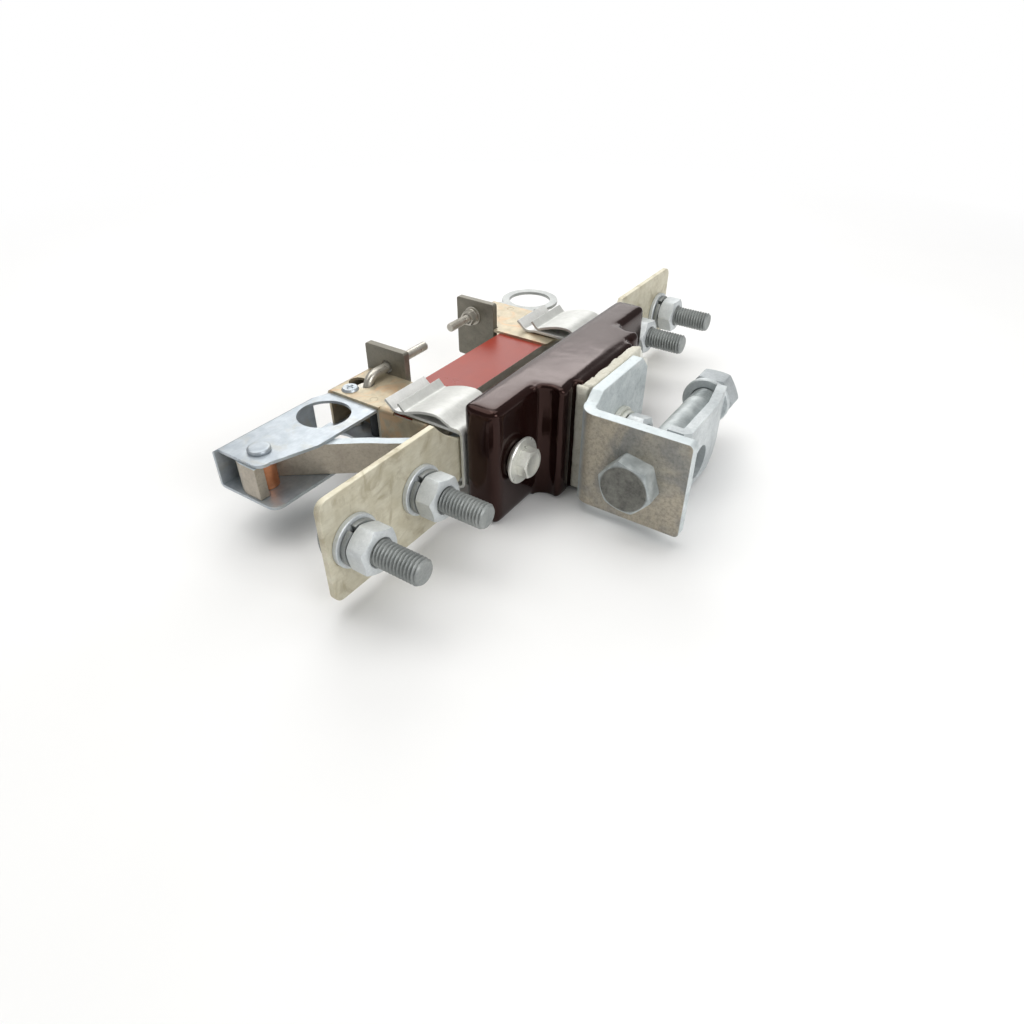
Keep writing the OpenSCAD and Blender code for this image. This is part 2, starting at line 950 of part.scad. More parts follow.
module tag(y, r_hole, x_hole, z_hole) {
  low = h2 - 1;
  translate([0, y + tag_t, 0])
    rotate([90, 0, 0])
      difference() {
        linear_extrude(tag_t)
          translate([tag_x, -low])
            rounded([tag_w, low + h2 + tag_up], 1.5);
        translate([x_hole, z_hole, -1])
          cylinder(r = r_hole, h = tag_t + 2);
      }
}

module lower_tag() {
  color([0.40, 0.38, 0.35])
    place()
      tag(-tag_y, hook_r + 0.9, hook_x, hook_z);
}

module upper_tag() {
  color([0.38, 0.37, 0.34])
    place()
      tag(tag_hi - tag_t, 2.7, link_x, link_z);
}

module hook_rod() {
  bend = 7;
  head_t = 2;
  color([0.72, 0.70, 0.66])
    place() {
      difference() {
        translate([hook_x, hook_y, h1 - head_t])
          cylinder(r = hook_r + 3.5, h = head_t);
        translate([hook_x - 10, hook_y - 13.6, h1 - head_t - 1])
          cube([20, 10, head_t + 2]);
      }
      translate([hook_x, hook_y, h1 - head_t])
        cylinder(r = hook_r, h = hook_z - bend - h1 + head_t + eps);
      translate([hook_x, hook_y + bend, hook_z - bend])
        rotate([0, -90, 0])
          rotate([0, 0, 270])
            rotate_extrude(angle = 90)
              translate([bend, 0])
                circle(r = hook_r);
      to_y(hook_x, hook_y + bend - eps, hook_z)
        cylinder(r = hook_r, h = 40 + 2 * eps);
      to_y(hook_x, hook_y + bend + 40, hook_z)
        cylinder(r1 = hook_r, r2 = hook_r - 0.6, h = 0.8);
    }
}

module link_bolt() {
  y0 = tag_hi;
  color([0.74, 0.72, 0.68])
    place() {
      to_y(link_x, y0, link_z)
        hex(8, 3.5);
      to_y(link_x, y0 - tag_t - 23, link_z)
        cylinder(r = 2.5, h = tag_t + 24);
    }
}

module link_washer() {
  color([0.70, 0.70, 0.67])
    place()
      to_y(link_x, tag_hi - tag_t - 1, link_z)
        ring(5.5, 2.7, 1);
}

module link_lock_washer() {
  color([0.62, 0.61, 0.58])
    place()
      to_y(link_x, tag_hi - tag_t - 2.4, link_z)
        lock_ring(4.6, 2.65, 1.4, 100);
}

module link_nut() {
  color([0.70, 0.69, 0.66])
    place()
      to_y(link_x, tag_hi - tag_t - 6.4, link_z)
        hex(8, 4, 2.6);
}

module pull_ring() {
  yr = eye_y + 2;
  color([0.80, 0.83, 0.85])
    place()
      translate([0, 0, h1 - 2])
        linear_extrude(2)
          difference() {
            union() {
              translate([-71, yr])
                circle(d = ring_d);
              translate([-85.5, tag_hi + 1])
                square([28, 30]);
              translate([-85.5, tag_hi + 27])
                rounded([28, 12], 4);
            }
            translate([-71, yr])
              circle(d = eye_d);
            for (y = [53, 69])
              translate([-70, y])
                circle(r = 2 + fit);
            translate([-78, 61])
              circle(r = 1.4);
          }
}

module ring_rivets() {
  color([0.76, 0.74, 0.66])
    place()
      for (y = [53, 69])
        translate([-70, y, h1 - 2]) {
          cylinder(r = 2, h = 2 + blade_t);
          translate([0, 0, -1.2])
            cylinder(r = 3.4, h = 1.2);
        }
}

module yoke_screws() {
  color([0.80, 0.82, 0.83])
    place()
      for (k = [0, 1])
        mirror([0, 0, k])
          translate([web_x + 10, -blade_y + 6.5, 0]) {
            translate([0, 0, h1 - yoke_t - 5])
              cylinder(r = 2.5, h = 5 + yoke_t + blade_t + 0.4);
            difference() {
              translate([0, 0, h2])
                cylinder(r1 = 4.6, r2 = 3.8, h = 1.4);
              for (a = [0, 90])
                rotate([0, 0, a])
                  translate([-2.2, -0.5, h2 + 0.7])
                    cube([4.4, 1, 2]);
            }
          }
}

module yoke_nuts() {
  color([0.66, 0.68, 0.70])
    place()
      for (k = [0, 1])
        mirror([0, 0, k])
          translate([web_x + 10, -blade_y + 6.5, h1 - yoke_t - 4])
            hex(8, 4, 2.6);
}

module yoke_spacer() {
  color([0.30, 0.33, 0.35])
    place()
      translate([web_x + 27.4, -blade_y + 5.3, -h1 + yoke_t])
        ring(3.4, 2.1, 2 * (h1 - yoke_t));
}

module yoke_rivet() {
  color([0.76, 0.66, 0.48])
    place()
      translate([web_x + 27.4, -blade_y + 5.3, -h2])
        cylinder(r = 2, h = 2 * h2);
}

insulator();
cement_pad();
mounting_bracket();
bracket_stud();
bracket_washer();
bracket_lock_washer();
bracket_nut();
clamp_bolt();
clamp_strap();
clamp_washer();
clamp_nut();
lower_terminal();
upper_terminal();
terminal_bolts();
terminal_washers();
terminal_lock_washers();
terminal_nuts();
lower_jaw();
upper_jaw();
lower_jaw_spring();
upper_jaw_spring();
contact_bolts();
contact_washers();
contact_lock_washers();
contact_nuts();
hinge_arm();
pivot_sleeve();
pivot_rivet();
hinge_yoke();
lower_blade();
upper_blade();
carrier_board();
board_rivets();
lower_tag();
upper_tag();
hook_rod();
link_bolt();
link_washer();
link_lock_washer();
link_nut();
pull_ring();
ring_rivets();
yoke_screws();
yoke_nuts();
yoke_spacer();
yoke_rivet();
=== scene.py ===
import math
from collections import namedtuple

import bmesh
import bpy
from mathutils import Matrix, Vector, noise


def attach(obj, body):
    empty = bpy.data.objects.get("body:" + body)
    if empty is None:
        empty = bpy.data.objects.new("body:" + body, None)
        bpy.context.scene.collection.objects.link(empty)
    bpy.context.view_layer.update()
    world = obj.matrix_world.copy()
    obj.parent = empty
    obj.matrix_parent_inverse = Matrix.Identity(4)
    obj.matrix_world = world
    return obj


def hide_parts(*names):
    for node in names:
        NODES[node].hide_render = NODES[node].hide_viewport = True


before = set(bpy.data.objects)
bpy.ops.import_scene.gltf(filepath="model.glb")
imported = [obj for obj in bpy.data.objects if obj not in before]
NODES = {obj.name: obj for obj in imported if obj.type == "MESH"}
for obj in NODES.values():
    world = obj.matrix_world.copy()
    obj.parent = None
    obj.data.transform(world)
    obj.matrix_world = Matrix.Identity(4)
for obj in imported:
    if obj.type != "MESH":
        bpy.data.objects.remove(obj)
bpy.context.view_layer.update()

# Lengths are in millimetres, as in the part's source, unless a comment says metres.
MM = 0.001
FRONT_X = -3.0    # the porcelain's front face in the shared frame
MID_Z = 31.0      # the switch's middle plane above the floor
FLIP = Matrix.Rotation(math.pi, 4, "X")

GALV = "galvanised_steel"
SMALL = "nickel_hardware"


def P(x, y, z):
    """A point of the part's source, in metres in the shared frame."""
    return Vector(((x + FRONT_X) * MM, y * MM, z * MM))


# Camera, solved from the photo: place in metres, angles in degrees

CAM_PLACE = (0.1702, -0.29644, 0.21564)
CAM_AZIMUTH = 33.27
CAM_TILT = 37.15
CAM_ROLL = 0.365
CAM_LENS = 25.09
CAM_SENSOR = 36.0
CAM_SHIFT = (-0.00164, -0.0035)
CAM_CLIP = (0.01, 20.0)


def make_camera():
    az = math.radians(CAM_AZIMUTH)
    el = math.radians(CAM_TILT)
    roll = math.radians(CAM_ROLL)
    ahead = Vector((-math.sin(az) * math.cos(el), math.cos(az) * math.cos(el), -math.sin(el)))
    level = Vector((math.cos(az), math.sin(az), 0.0))
    above = level.cross(ahead)
    right = math.cos(roll) * level + math.sin(roll) * above
    up = -math.sin(roll) * level + math.cos(roll) * above
    cam = bpy.data.cameras.new("Camera")
    cam.sensor_width = CAM_SENSOR
    cam.lens = CAM_LENS
    cam.shift_x, cam.shift_y = CAM_SHIFT
    cam.clip_start, cam.clip_end = CAM_CLIP
    ob = bpy.data.objects.new("Camera", cam)
    turn = Matrix((right, up, -ahead)).transposed().to_4x4()
    ob.matrix_world = Matrix.Translation(Vector(CAM_PLACE)) @ turn
    bpy.context.scene.collection.objects.link(ob)
    bpy.context.scene.camera = ob


make_camera()


# Materials: bump distances are in metres and noise scales are per metre

def lin(r, g, b):
    """A colour given as screen values, 0 to 255, as a linear one."""
    out = []
    for c in (r, g, b):
        c = c / 255.0
        out.append(c / 12.92 if c <= 0.04045 else ((c + 0.055) / 1.055) ** 2.4)
    return (out[0], out[1], out[2], 1.0)


def darker(color, share):
    return tuple(c * share for c in color[:3]) + (1.0,)


class Mat:
    """A node material on object coordinates, built up by small helpers."""

    def __init__(self, name):
        self.m = bpy.data.materials.new(name)
        self.m.use_nodes = True
        self.nt = self.m.node_tree
        self.b = self.nt.nodes["Principled BSDF"]
        tc = self.nt.nodes.new("ShaderNodeTexCoord")
        self.co = tc.outputs["Object"]
        self.normal = tc.outputs["Normal"]

    def node(self, kind, **kw):
        n = self.nt.nodes.new(kind)
        for k, v in kw.items():
            setattr(n, k, v)
        return n

    def link(self, a, b):
        self.nt.links.new(a, b)

    def feed(self, value, socket):
        """Links the value where it is a socket, else sets it."""
        if isinstance(value, bpy.types.NodeSocket):
            self.link(value, socket)
        else:
            socket.default_value = value

    def stretch(self, sx, sy, sz):
        n = self.node("ShaderNodeMapping")
        n.inputs["Scale"].default_value = (sx, sy, sz)
        self.link(self.co, n.inputs["Vector"])
        return n.outputs["Vector"]

    def noise(self, scale, detail, rough=0.55, dist=0.0, vec=None):
        n = self.node("ShaderNodeTexNoise")
        n.inputs["Scale"].default_value = scale
        n.inputs["Detail"].default_value = detail
        n.inputs["Roughness"].default_value = rough
        n.inputs["Distortion"].default_value = dist
        self.link(vec or self.co, n.inputs["Vector"])
        return n.outputs["Fac"]

    def ramp(self, fac, stops):
        """Colour ramp; a stop is (position, colour) or (position, grey)."""
        n = self.node("ShaderNodeValToRGB")
        el = n.color_ramp.elements
        while len(el) < len(stops):
            el.new(0.5)
        for e, (p, c) in zip(el, stops):
            e.position = p
            e.color = c if isinstance(c, tuple) else (c, c, c, 1.0)
        self.link(fac, n.inputs["Fac"])
        return n.outputs["Color"]

    def mix(self, fac, a, b):
        n = self.node("ShaderNodeMix", data_type="RGBA", blend_type="MIX")
        self.feed(fac, n.inputs[0])
        self.feed(a, n.inputs[6])
        self.feed(b, n.inputs[7])
        return n.outputs[2]

    def math(self, op, a, b=0.0):
        n = self.node("ShaderNodeMath", operation=op)
        self.feed(a, n.inputs[0])
        self.feed(b, n.inputs[1])
        return n.outputs[0]

    def blend(self, a, share, b):
        """Sum of two values, a by its share and b by the rest."""
        return self.math("ADD", self.math("MULTIPLY", a, share), self.math("MULTIPLY", b, 1.0 - share))

    def span(self, fac, lo, hi, a, b):
        """Maps a..b to lo..hi."""
        n = self.node("ShaderNodeMapRange")
        n.inputs["From Min"].default_value = a
        n.inputs["From Max"].default_value = b
        n.inputs["To Min"].default_value = lo
        n.inputs["To Max"].default_value = hi
        self.link(fac, n.inputs["Value"])
        return n.outputs["Result"]

    def bump(self, height, dist, strength, below=None):
        n = self.node("ShaderNodeBump")
        n.inputs["Strength"].default_value = strength
        n.inputs["Distance"].default_value = dist
        self.link(height, n.inputs["Height"])
        if below is not None:
            self.link(below, n.inputs["Normal"])
        return n.outputs["Normal"]

    def facing_axis(self, axis):
        """The object-space normal's part along the axis, -1 to 1."""
        s = self.node("ShaderNodeSeparateXYZ")
        self.link(self.normal, s.inputs[0])
        return s.outputs["XYZ".index(axis)]

    def facing(self, axis, lo, hi):
        """0 to 1 as the object-space normal's part along the axis goes from lo to hi."""
        return self.span(self.facing_axis(axis), 0.0, 1.0, lo, hi)

    def done(self, color, rough, metal, normal=None, spec=0.5):
        self.link(color, self.b.inputs["Base Color"])
        self.feed(rough, self.b.inputs["Roughness"])
        self.b.inputs["Metallic"].default_value = metal
        self.b.inputs["Specular IOR Level"].default_value = spec
        if normal is not None:
            self.link(normal, self.b.inputs["Normal"])
        return self.m


def galvanised(name, dark, light, rough, metal, scale=1.0):
    """Hot-dip zinc: soft clouds, a fine grain and small dark pits."""
    m = Mat(name)
    big = m.noise(60 * scale, 4, 0.5, 0.4)
    grain = m.noise(520 * scale, 6, 0.7)
    middle = tuple((a + b) / 2 for a, b in zip(dark, light))
    col = m.ramp(m.blend(big, 0.55, grain), [(0.36, dark), (0.52, middle), (0.66, light)])
    pits = m.ramp(m.noise(1300 * scale, 2, 0.5), [(0.0, 0.0), (0.68, 0.0), (0.75, 1.0)])
    col = m.mix(m.math("MULTIPLY", pits, 0.4), col, darker(dark, 0.45))
    r = m.span(m.noise(210 * scale, 4, 0.6), rough[0], rough[1], 0.3, 0.7)
    n1 = m.bump(m.noise(120 * scale, 3, 0.5), 0.000256, 0.7)
    n2 = m.bump(m.noise(900 * scale, 4, 0.65), 0.000048, 0.7, n1)
    return m.done(col, r, metal, n2)


def bracket_zinc():
    """Bracket: pale zinc on the back plate and the edges; on the face in front, towards -Y, painted shade
    and a painted warm reflection make it darker and warmer, and a painted highlight lightens the faces
    turned up.
    """
    m = Mat("galv_bracket")
    grain = m.noise(620, 6, 0.72)
    mid = m.noise(150, 5, 0.6, 0.6)
    pale = m.ramp(m.blend(mid, 0.6, grain),
                  [(0.34, lin(174, 182, 184)), (0.5, lin(198, 205, 206)), (0.66, lin(218, 223, 223))])
    streaks = m.noise(260, 5, 0.7, 1.6, m.stretch(1.0, 0.5, 0.35))
    pale = m.mix(m.span(streaks, 0.0, 0.55, 0.60, 0.70), pale, lin(128, 136, 140))
    cloud = m.noise(34, 4, 0.55, 0.5)
    # painted shade and a painted warm reflection: darker warm colours for the face towards -Y, mottled by
    # the clouds
    shaded_front = m.ramp(cloud,
                  [(0.36, lin(124, 128, 129)), (0.47, lin(146, 145, 140)), (0.60, lin(182, 173, 156))])
    shaded_front = m.mix(m.span(grain, 0.0, 0.55, 0.42, 0.66), shaded_front, lin(106, 106, 102))
    shaded_front = m.mix(m.span(mid, 0.0, 0.35, 0.55, 0.72), shaded_front, lin(184, 178, 164))
    # the face towards -Y takes the painted shade and warm reflection
    col = m.mix(m.facing("Y", -0.70, -0.92), pale, shaded_front)
    # painted highlight: faces turned up are lightened towards pale bluish zinc
    col = m.mix(m.math("MULTIPLY", m.facing("Z", 0.55, 0.9), 0.7), col, lin(200, 208, 210))
    pits = m.ramp(m.noise(700, 2, 0.5), [(0.0, 0.0), (0.70, 0.0), (0.76, 1.0)])
    col = m.mix(m.math("MULTIPLY", pits, 0.5), col, lin(84, 86, 86))
    r = m.span(m.noise(210, 4, 0.6), 0.40, 0.58, 0.3, 0.7)
    n1 = m.bump(mid, 0.0004, 0.6)
    n2 = m.bump(grain, 0.00008, 0.8, n1)
    return m.done(col, r, 0.45, n2)


def bolt_head_zinc():
    """Clamp bolt: painted shade makes the head's face towards -Y dark; lighter flats and shank."""
    m = Mat("galv_head")
    grain = m.noise(640, 6, 0.72)
    mid = m.noise(150, 4, 0.6)
    side = m.ramp(mid, [(0.35, lin(152, 159, 160)), (0.65, lin(190, 196, 196))])
    # painted shade: dark colours for the head's face towards -Y
    face = m.ramp(m.blend(mid, 0.5, grain), [(0.38, lin(84, 84, 80)), (0.62, lin(122, 122, 116))])
    # the face towards -Y takes the painted shade
    col = m.mix(m.facing("Y", -0.94, -0.985), side, face)
    n1 = m.bump(mid, 0.0003, 0.6)
    n2 = m.bump(grain, 0.00008, 0.8, n1)
    return m.done(col, m.span(mid, 0.38, 0.55, 0.3, 0.7), 0.45, n2)


def arm_bar():
    """Hinge arm: matt grey-brown face with fine scale; a painted highlight of light bluish zinc on its
    narrow top edge, which faces up.
    """
    m = Mat("arm_bar")
    a = m.noise(120, 5, 0.6, 0.3)
    g = m.noise(760, 5, 0.7)
    side = m.mix(m.span(a, 0.0, 1.0, 0.35, 0.68), lin(170, 161, 147), lin(192, 184, 170))
    side = m.mix(m.span(g, 0.0, 0.5, 0.45, 0.72), side, lin(132, 125, 115))
    # painted highlight: light bluish zinc for the top, which faces up
    top = m.mix(m.span(g, 0.0, 0.5, 0.45, 0.75), lin(190, 198, 202), lin(166, 175, 181))
    # the up-facing top takes the painted highlight
    col = m.mix(m.facing("Z", 0.45, 0.85), side, top)
    n1 = m.bump(g, 0.00006, 0.7)
    return m.done(col, m.span(a, 0.38, 0.52, 0.3, 0.7), 0.5, n1)


def plated(name, base, tint, rough, metal, streak=(1, 1, 1), bump=0.00006, stain=None):
    """Thin plating on sheet or wire: clouds, fine streaks and, where set, a stain."""
    m = Mat(name)
    a = m.noise(140, 5, 0.6, 0.3)
    s = m.noise(900, 4, 0.65, 0.0, m.stretch(*streak))
    col = m.mix(m.span(a, 0.0, 1.0, 0.35, 0.68), base, tint)
    col = m.mix(m.span(s, 0.0, 0.30, 0.45, 0.75), col, darker(base, 0.72))
    if stain is not None:
        st = m.ramp(m.noise(70, 6, 0.62, 1.2), [(0.0, 0.0), (0.52, 0.0), (0.66, 1.0)])
        col = m.mix(m.math("MULTIPLY", st, 0.6), col, stain)
    r = m.span(m.noise(320, 5, 0.6), rough[0], rough[1], 0.32, 0.68)
    n1 = m.bump(s, bump, 0.55)
    n2 = m.bump(m.noise(60, 3, 0.5), bump * 5, 0.4, n1)
    return m.done(col, r, metal, n2)


def porcelain():
    """Dark brown glaze with a warm reflection and a slightly wavy surface."""
    m = Mat("glaze_brown")
    a = m.noise(28, 4, 0.55, 0.4)
    b = m.noise(420, 4, 0.6)
    col = m.mix(m.span(a, 0.0, 1.0, 0.3, 0.7), lin(17, 7, 6), lin(27, 12, 10))
    col = m.mix(m.span(b, 0.0, 0.25, 0.55, 0.8), col, lin(12, 5, 4))
    n1 = m.bump(m.noise(48, 2, 0.5, 0.3), 0.0006, 0.30)
    n2 = m.bump(m.noise(700, 3, 0.6), 0.00003, 0.35, n1)
    r = m.span(m.noise(60, 3, 0.5), 0.10, 0.16, 0.3, 0.7)
    m.b.inputs["Specular Tint"].default_value = (1.0, 0.62, 0.55, 1.0)
    return m.done(col, r, 0.0, n2, 0.36)


def cement():
    m = Mat("cement_cream")
    a = m.noise(120, 7, 0.7)
    b = m.noise(900, 5, 0.7)
    col = m.ramp(m.blend(a, 0.6, b),
                 [(0.3, lin(176, 171, 154)), (0.5, lin(208, 205, 191)), (0.7, lin(222, 220, 210))])
    n1 = m.bump(a, 0.0012, 0.7)
    n2 = m.bump(b, 0.0004, 0.8, n1)
    return m.done(col, 0.88, 0.0, n2, 0.3)


def board():
    """Glossy red face, with the pale raw edge of a sawn laminate round it."""
    m = Mat("board_red")
    a = m.noise(60, 5, 0.6, 0.2)
    fib = m.noise(800, 4, 0.65, 0.0, m.stretch(1.0, 0.12, 1.0))
    col = m.mix(m.span(a, 0.0, 1.0, 0.3, 0.7), lin(142, 52, 40), lin(154, 62, 47))
    col = m.mix(m.span(fib, 0.0, 0.25, 0.5, 0.8), col, lin(122, 46, 38))
    face = m.math("ABSOLUTE", m.facing_axis("Z"))
    edge = m.mix(m.span(fib, 0.0, 0.6, 0.4, 0.7), lin(206, 202, 188), lin(176, 170, 154))
    col = m.mix(m.span(face, 1.0, 0.0, 0.80, 0.93), col, edge)
    n1 = m.bump(fib, 0.00004, 0.5)
    return m.done(col, m.span(a, 0.26, 0.36, 0.3, 0.7), 0.0, n1, 0.20)


def painted(name, c1, c2, rough, metal):
    m = Mat(name)
    a = m.noise(110, 6, 0.65, 0.4)
    f = m.noise(1100, 4, 0.7)
    col = m.mix(m.span(a, 0.0, 1.0, 0.35, 0.68), c1, c2)
    col = m.mix(m.span(f, 0.0, 0.4, 0.5, 0.8), col, darker(c1, 0.6))
    n1 = m.bump(f, 0.00008, 0.6)
    return m.done(col, m.span(a, rough - 0.1, rough + 0.12, 0.3, 0.7), metal, n1, 0.4)


NUT_ROUGH = (0.38, 0.54)
ALONG_Y = (1, 0.2, 1)
ALONG_X = (0.15, 1, 1)

M = {
    "galv": bracket_zinc(),
    "galv_strap": galvanised("galv_strap", lin(172, 178, 180), lin(210, 215, 216), NUT_ROUGH, 0.45),
    "galv_head": bolt_head_zinc(),
    "galv_nut": galvanised("galv_nut", lin(192, 197, 199), lin(220, 224, 225), NUT_ROUGH, 0.45, 1.3),
    "galv_dull": galvanised("galv_dull", lin(152, 158, 161), lin(188, 193, 195), (0.42, 0.56), 0.45, 1.3),
    "galv_pale": galvanised("galv_pale", lin(190, 192, 184), lin(218, 219, 210), (0.40, 0.56), 0.35, 1.3),
    "galv_thread": galvanised("galv_thread", lin(128, 132, 131), lin(162, 165, 163), (0.44, 0.60),
                              0.45, 1.3),
    "porcelain": porcelain(),
    "cement": cement(),
    "tin_plate": plated("tin_plate", lin(196, 189, 166), lin(214, 209, 190), (0.42, 0.56), 0.35,
                        ALONG_Y, 0.00003, lin(158, 147, 120)),
    "tin_spring": plated("tin_spring", lin(196, 197, 193), lin(210, 211, 207), (0.42, 0.54), 0.35,
                         ALONG_X, 0.00002),
    "bright_spring": plated("bright_spring", lin(214, 215, 212), lin(228, 228, 225), (0.36, 0.46), 0.35,
                            ALONG_X, 0.00002),
    "nickel": plated("nickel_hardware", lin(176, 172, 162), lin(200, 196, 186), (0.26, 0.44), 0.75),
    "bright_zinc": plated("bright_zinc", lin(220, 220, 213), lin(234, 234, 227), (0.26, 0.38), 0.65),
    "arm": arm_bar(),
    "copper": plated("copper_sleeve", lin(190, 122, 84), lin(214, 150, 112), (0.30, 0.45), 0.8),
    "zinc": plated("zinc_sheet", lin(168, 176, 183), lin(190, 197, 202), (0.32, 0.48), 0.6,
                   ALONG_Y, 0.00003, lin(176, 176, 170)),
    "yellow": plated("yellow_plate", lin(164, 154, 132), lin(188, 176, 150), (0.32, 0.46), 0.5,
                     (1, 0.3, 1), 0.00004, lin(194, 156, 118)),
    "ring": plated("ring_zinc", lin(166, 169, 168), lin(184, 187, 185), (0.44, 0.60), 0.4),
    "board": board(),
    "tag": painted("tag_grey", lin(108, 105, 95), lin(134, 130, 118), 0.45, 0.4),
    "tube": painted("tube_dark", lin(44, 47, 50), lin(62, 66, 70), 0.5, 0.3),
}


# Mesh helpers

WELD_M = 2e-6          # metres
SAME_PLANE_DEG = 0.6
BEVEL_ANGLE_DEG = 32.0
SMOOTH_DEG = 40.0
SMOOTH_DRESSED_DEG = 50.0


class Mesh:
    """Points and faces of one piece, gathered from several forms."""

    def __init__(self):
        self.v = []
        self.f = []

    def add(self, verts, faces, place):
        base = len(self.v)
        self.v.extend(place @ Vector(p) for p in verts)
        self.f.extend([i + base for i in f] for f in faces)

    def obj(self, name, material):
        me = bpy.data.meshes.new(name)
        me.from_pydata([tuple(p) for p in self.v], [], self.f)
        ob = bpy.data.objects.new(name, me)
        bpy.context.scene.collection.objects.link(ob)
        shade(ob, SMOOTH_DEG)
        me.materials.append(material)
        return ob


def shade(ob, smooth):
    """Turns the faces outward and keeps edges sharp above the angle in degrees."""
    bm = bmesh.new()
    bm.from_mesh(ob.data)
    bmesh.ops.recalc_face_normals(bm, faces=bm.faces)
    lim = math.radians(smooth)
    for f in bm.faces:
        f.smooth = True
    for e in bm.edges:
        e.smooth = len(e.link_faces) == 2 and e.calc_face_angle(0.0) < lim
    bm.to_mesh(ob.data)
    bm.free()


def bake(ob):
    """Puts the modifiers' result into the object's own mesh."""
    dg = bpy.context.evaluated_depsgraph_get()
    dg.update()
    me = bpy.data.meshes.new_from_object(ob.evaluated_get(dg))
    old = ob.data
    ob.modifiers.clear()
    ob.data = me
    if old.users == 0:
        bpy.data.meshes.remove(old)


def finish_piece(ob, body, node):
    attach(ob, body)
    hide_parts(node)


def finish_mesh(mesh, name, material, body, node):
    finish_piece(mesh.obj(name, M[material]), body, node)


def paint(ob, material):
    ob.data.materials.clear()
    ob.data.materials.append(M[material])


def copy_node(node, name):
    """A copy of the node's solid, welded and without seams on its flat faces."""
    me = NODES[node].data.copy()
    me.materials.clear()
    ob = bpy.data.objects.new(name, me)
    bpy.context.scene.collection.objects.link(ob)
    bm = bmesh.new()
    bm.from_mesh(me)
    bmesh.ops.remove_doubles(bm, verts=bm.verts, dist=WELD_M)
    bmesh.ops.dissolve_limit(bm, angle_limit=math.radians(SAME_PLANE_DEG), verts=bm.verts[:],
                             edges=bm.edges[:])
    bm.to_mesh(me)
    bm.free()
    return ob


def dress(node, body, slot, material, width, seg):
    """A copy of the node with its edges rounded, as rolled, cast or plated metal has them."""
    ob = copy_node(node, node + "_skin")
    mod = ob.modifiers.new("edge", "BEVEL")
    mod.width = width * MM
    mod.segments = seg
    mod.limit_method = "ANGLE"
    mod.angle_limit = math.radians(BEVEL_ANGLE_DEG)
    mod.use_clamp_overlap = True
    mod.miter_outer = "MITER_ARC"
    bake(ob)
    shade(ob, SMOOTH_DRESSED_DEG)
    wn = ob.modifiers.new("normals", "WEIGHTED_NORMAL")
    wn.keep_sharp = True
    bake(ob)
    paint(ob, material)
    finish_piece(ob, body, node)


def block(x0, x1, y0, y1, z0, z1):
    me = bpy.data.meshes.new("block")
    v = [P(x, y, z) for x in (x0, x1) for y in (y0, y1) for z in (z0, z1)]
    faces = [[0, 1, 3, 2], [4, 6, 7, 5], [0, 4, 5, 1], [2, 3, 7, 6], [0, 2, 6, 4], [1, 5, 7, 3]]
    me.from_pydata([tuple(p) for p in v], [], faces)
    ob = bpy.data.objects.new("block", me)
    bpy.context.scene.collection.objects.link(ob)
    return ob


def unite(ob, other):
    """Joins the other solid to the object and deletes it."""
    mod = ob.modifiers.new("join", "BOOLEAN")
    mod.operation = "UNION"
    mod.solver = "EXACT"
    mod.object = other
    bake(ob)
    me = other.data
    bpy.data.objects.remove(other)
    bpy.data.meshes.remove(me)


def along_x(x, y, turn=0.0):
    """Local Z along +X at the switch's middle plane; the turn is in degrees."""
    lay = Matrix.Rotation(math.pi / 2, 4, "Y")
    return Matrix.Translation(P(x, y, MID_Z)) @ lay @ Matrix.Rotation(math.radians(turn), 4, "Z")


def along_y(x, y, z, turn=0.0):
    """Local Z along +Y; the turn is in degrees."""
    lay = Matrix.Rotation(-math.pi / 2, 4, "X")
    return Matrix.Translation(P(x, y, z)) @ lay @ Matrix.Rotation(math.radians(turn), 4, "Z")


def around(r, angle, z):
    return (r * math.cos(angle) * MM, r * math.sin(angle) * MM, z * MM)


def lathe(mesh, profile, mat, n=48):
    """Turns a closed profile of (radius, height) about the local Z axis."""
    verts = []
    faces = []
    k = len(profile)
    for i in range(n):
        a = 2 * math.pi * i / n
        verts.extend(around(r, a, h) for r, h in profile)
    for i in range(n):
        j = (i + 1) % n
        for q in range(k):
            w = (q + 1) % k
            faces.append([i * k + q, j * k + q, j * k + w, i * k + w])
    mesh.add(verts, faces, mat)


SIDE_STEPS = 12        # points on each side of a hexagon
CORNER_SHARE = 0.985   # corners turned down to this share of the full radius
FACE_SHARE = 0.95      # round end face as a share of the width across flats
CHAMFER_DEG = 30.0
BORE_EDGE = 0.7        # width of a nut's countersink
BORE_DEEP = 0.8        # depth of a nut's countersink


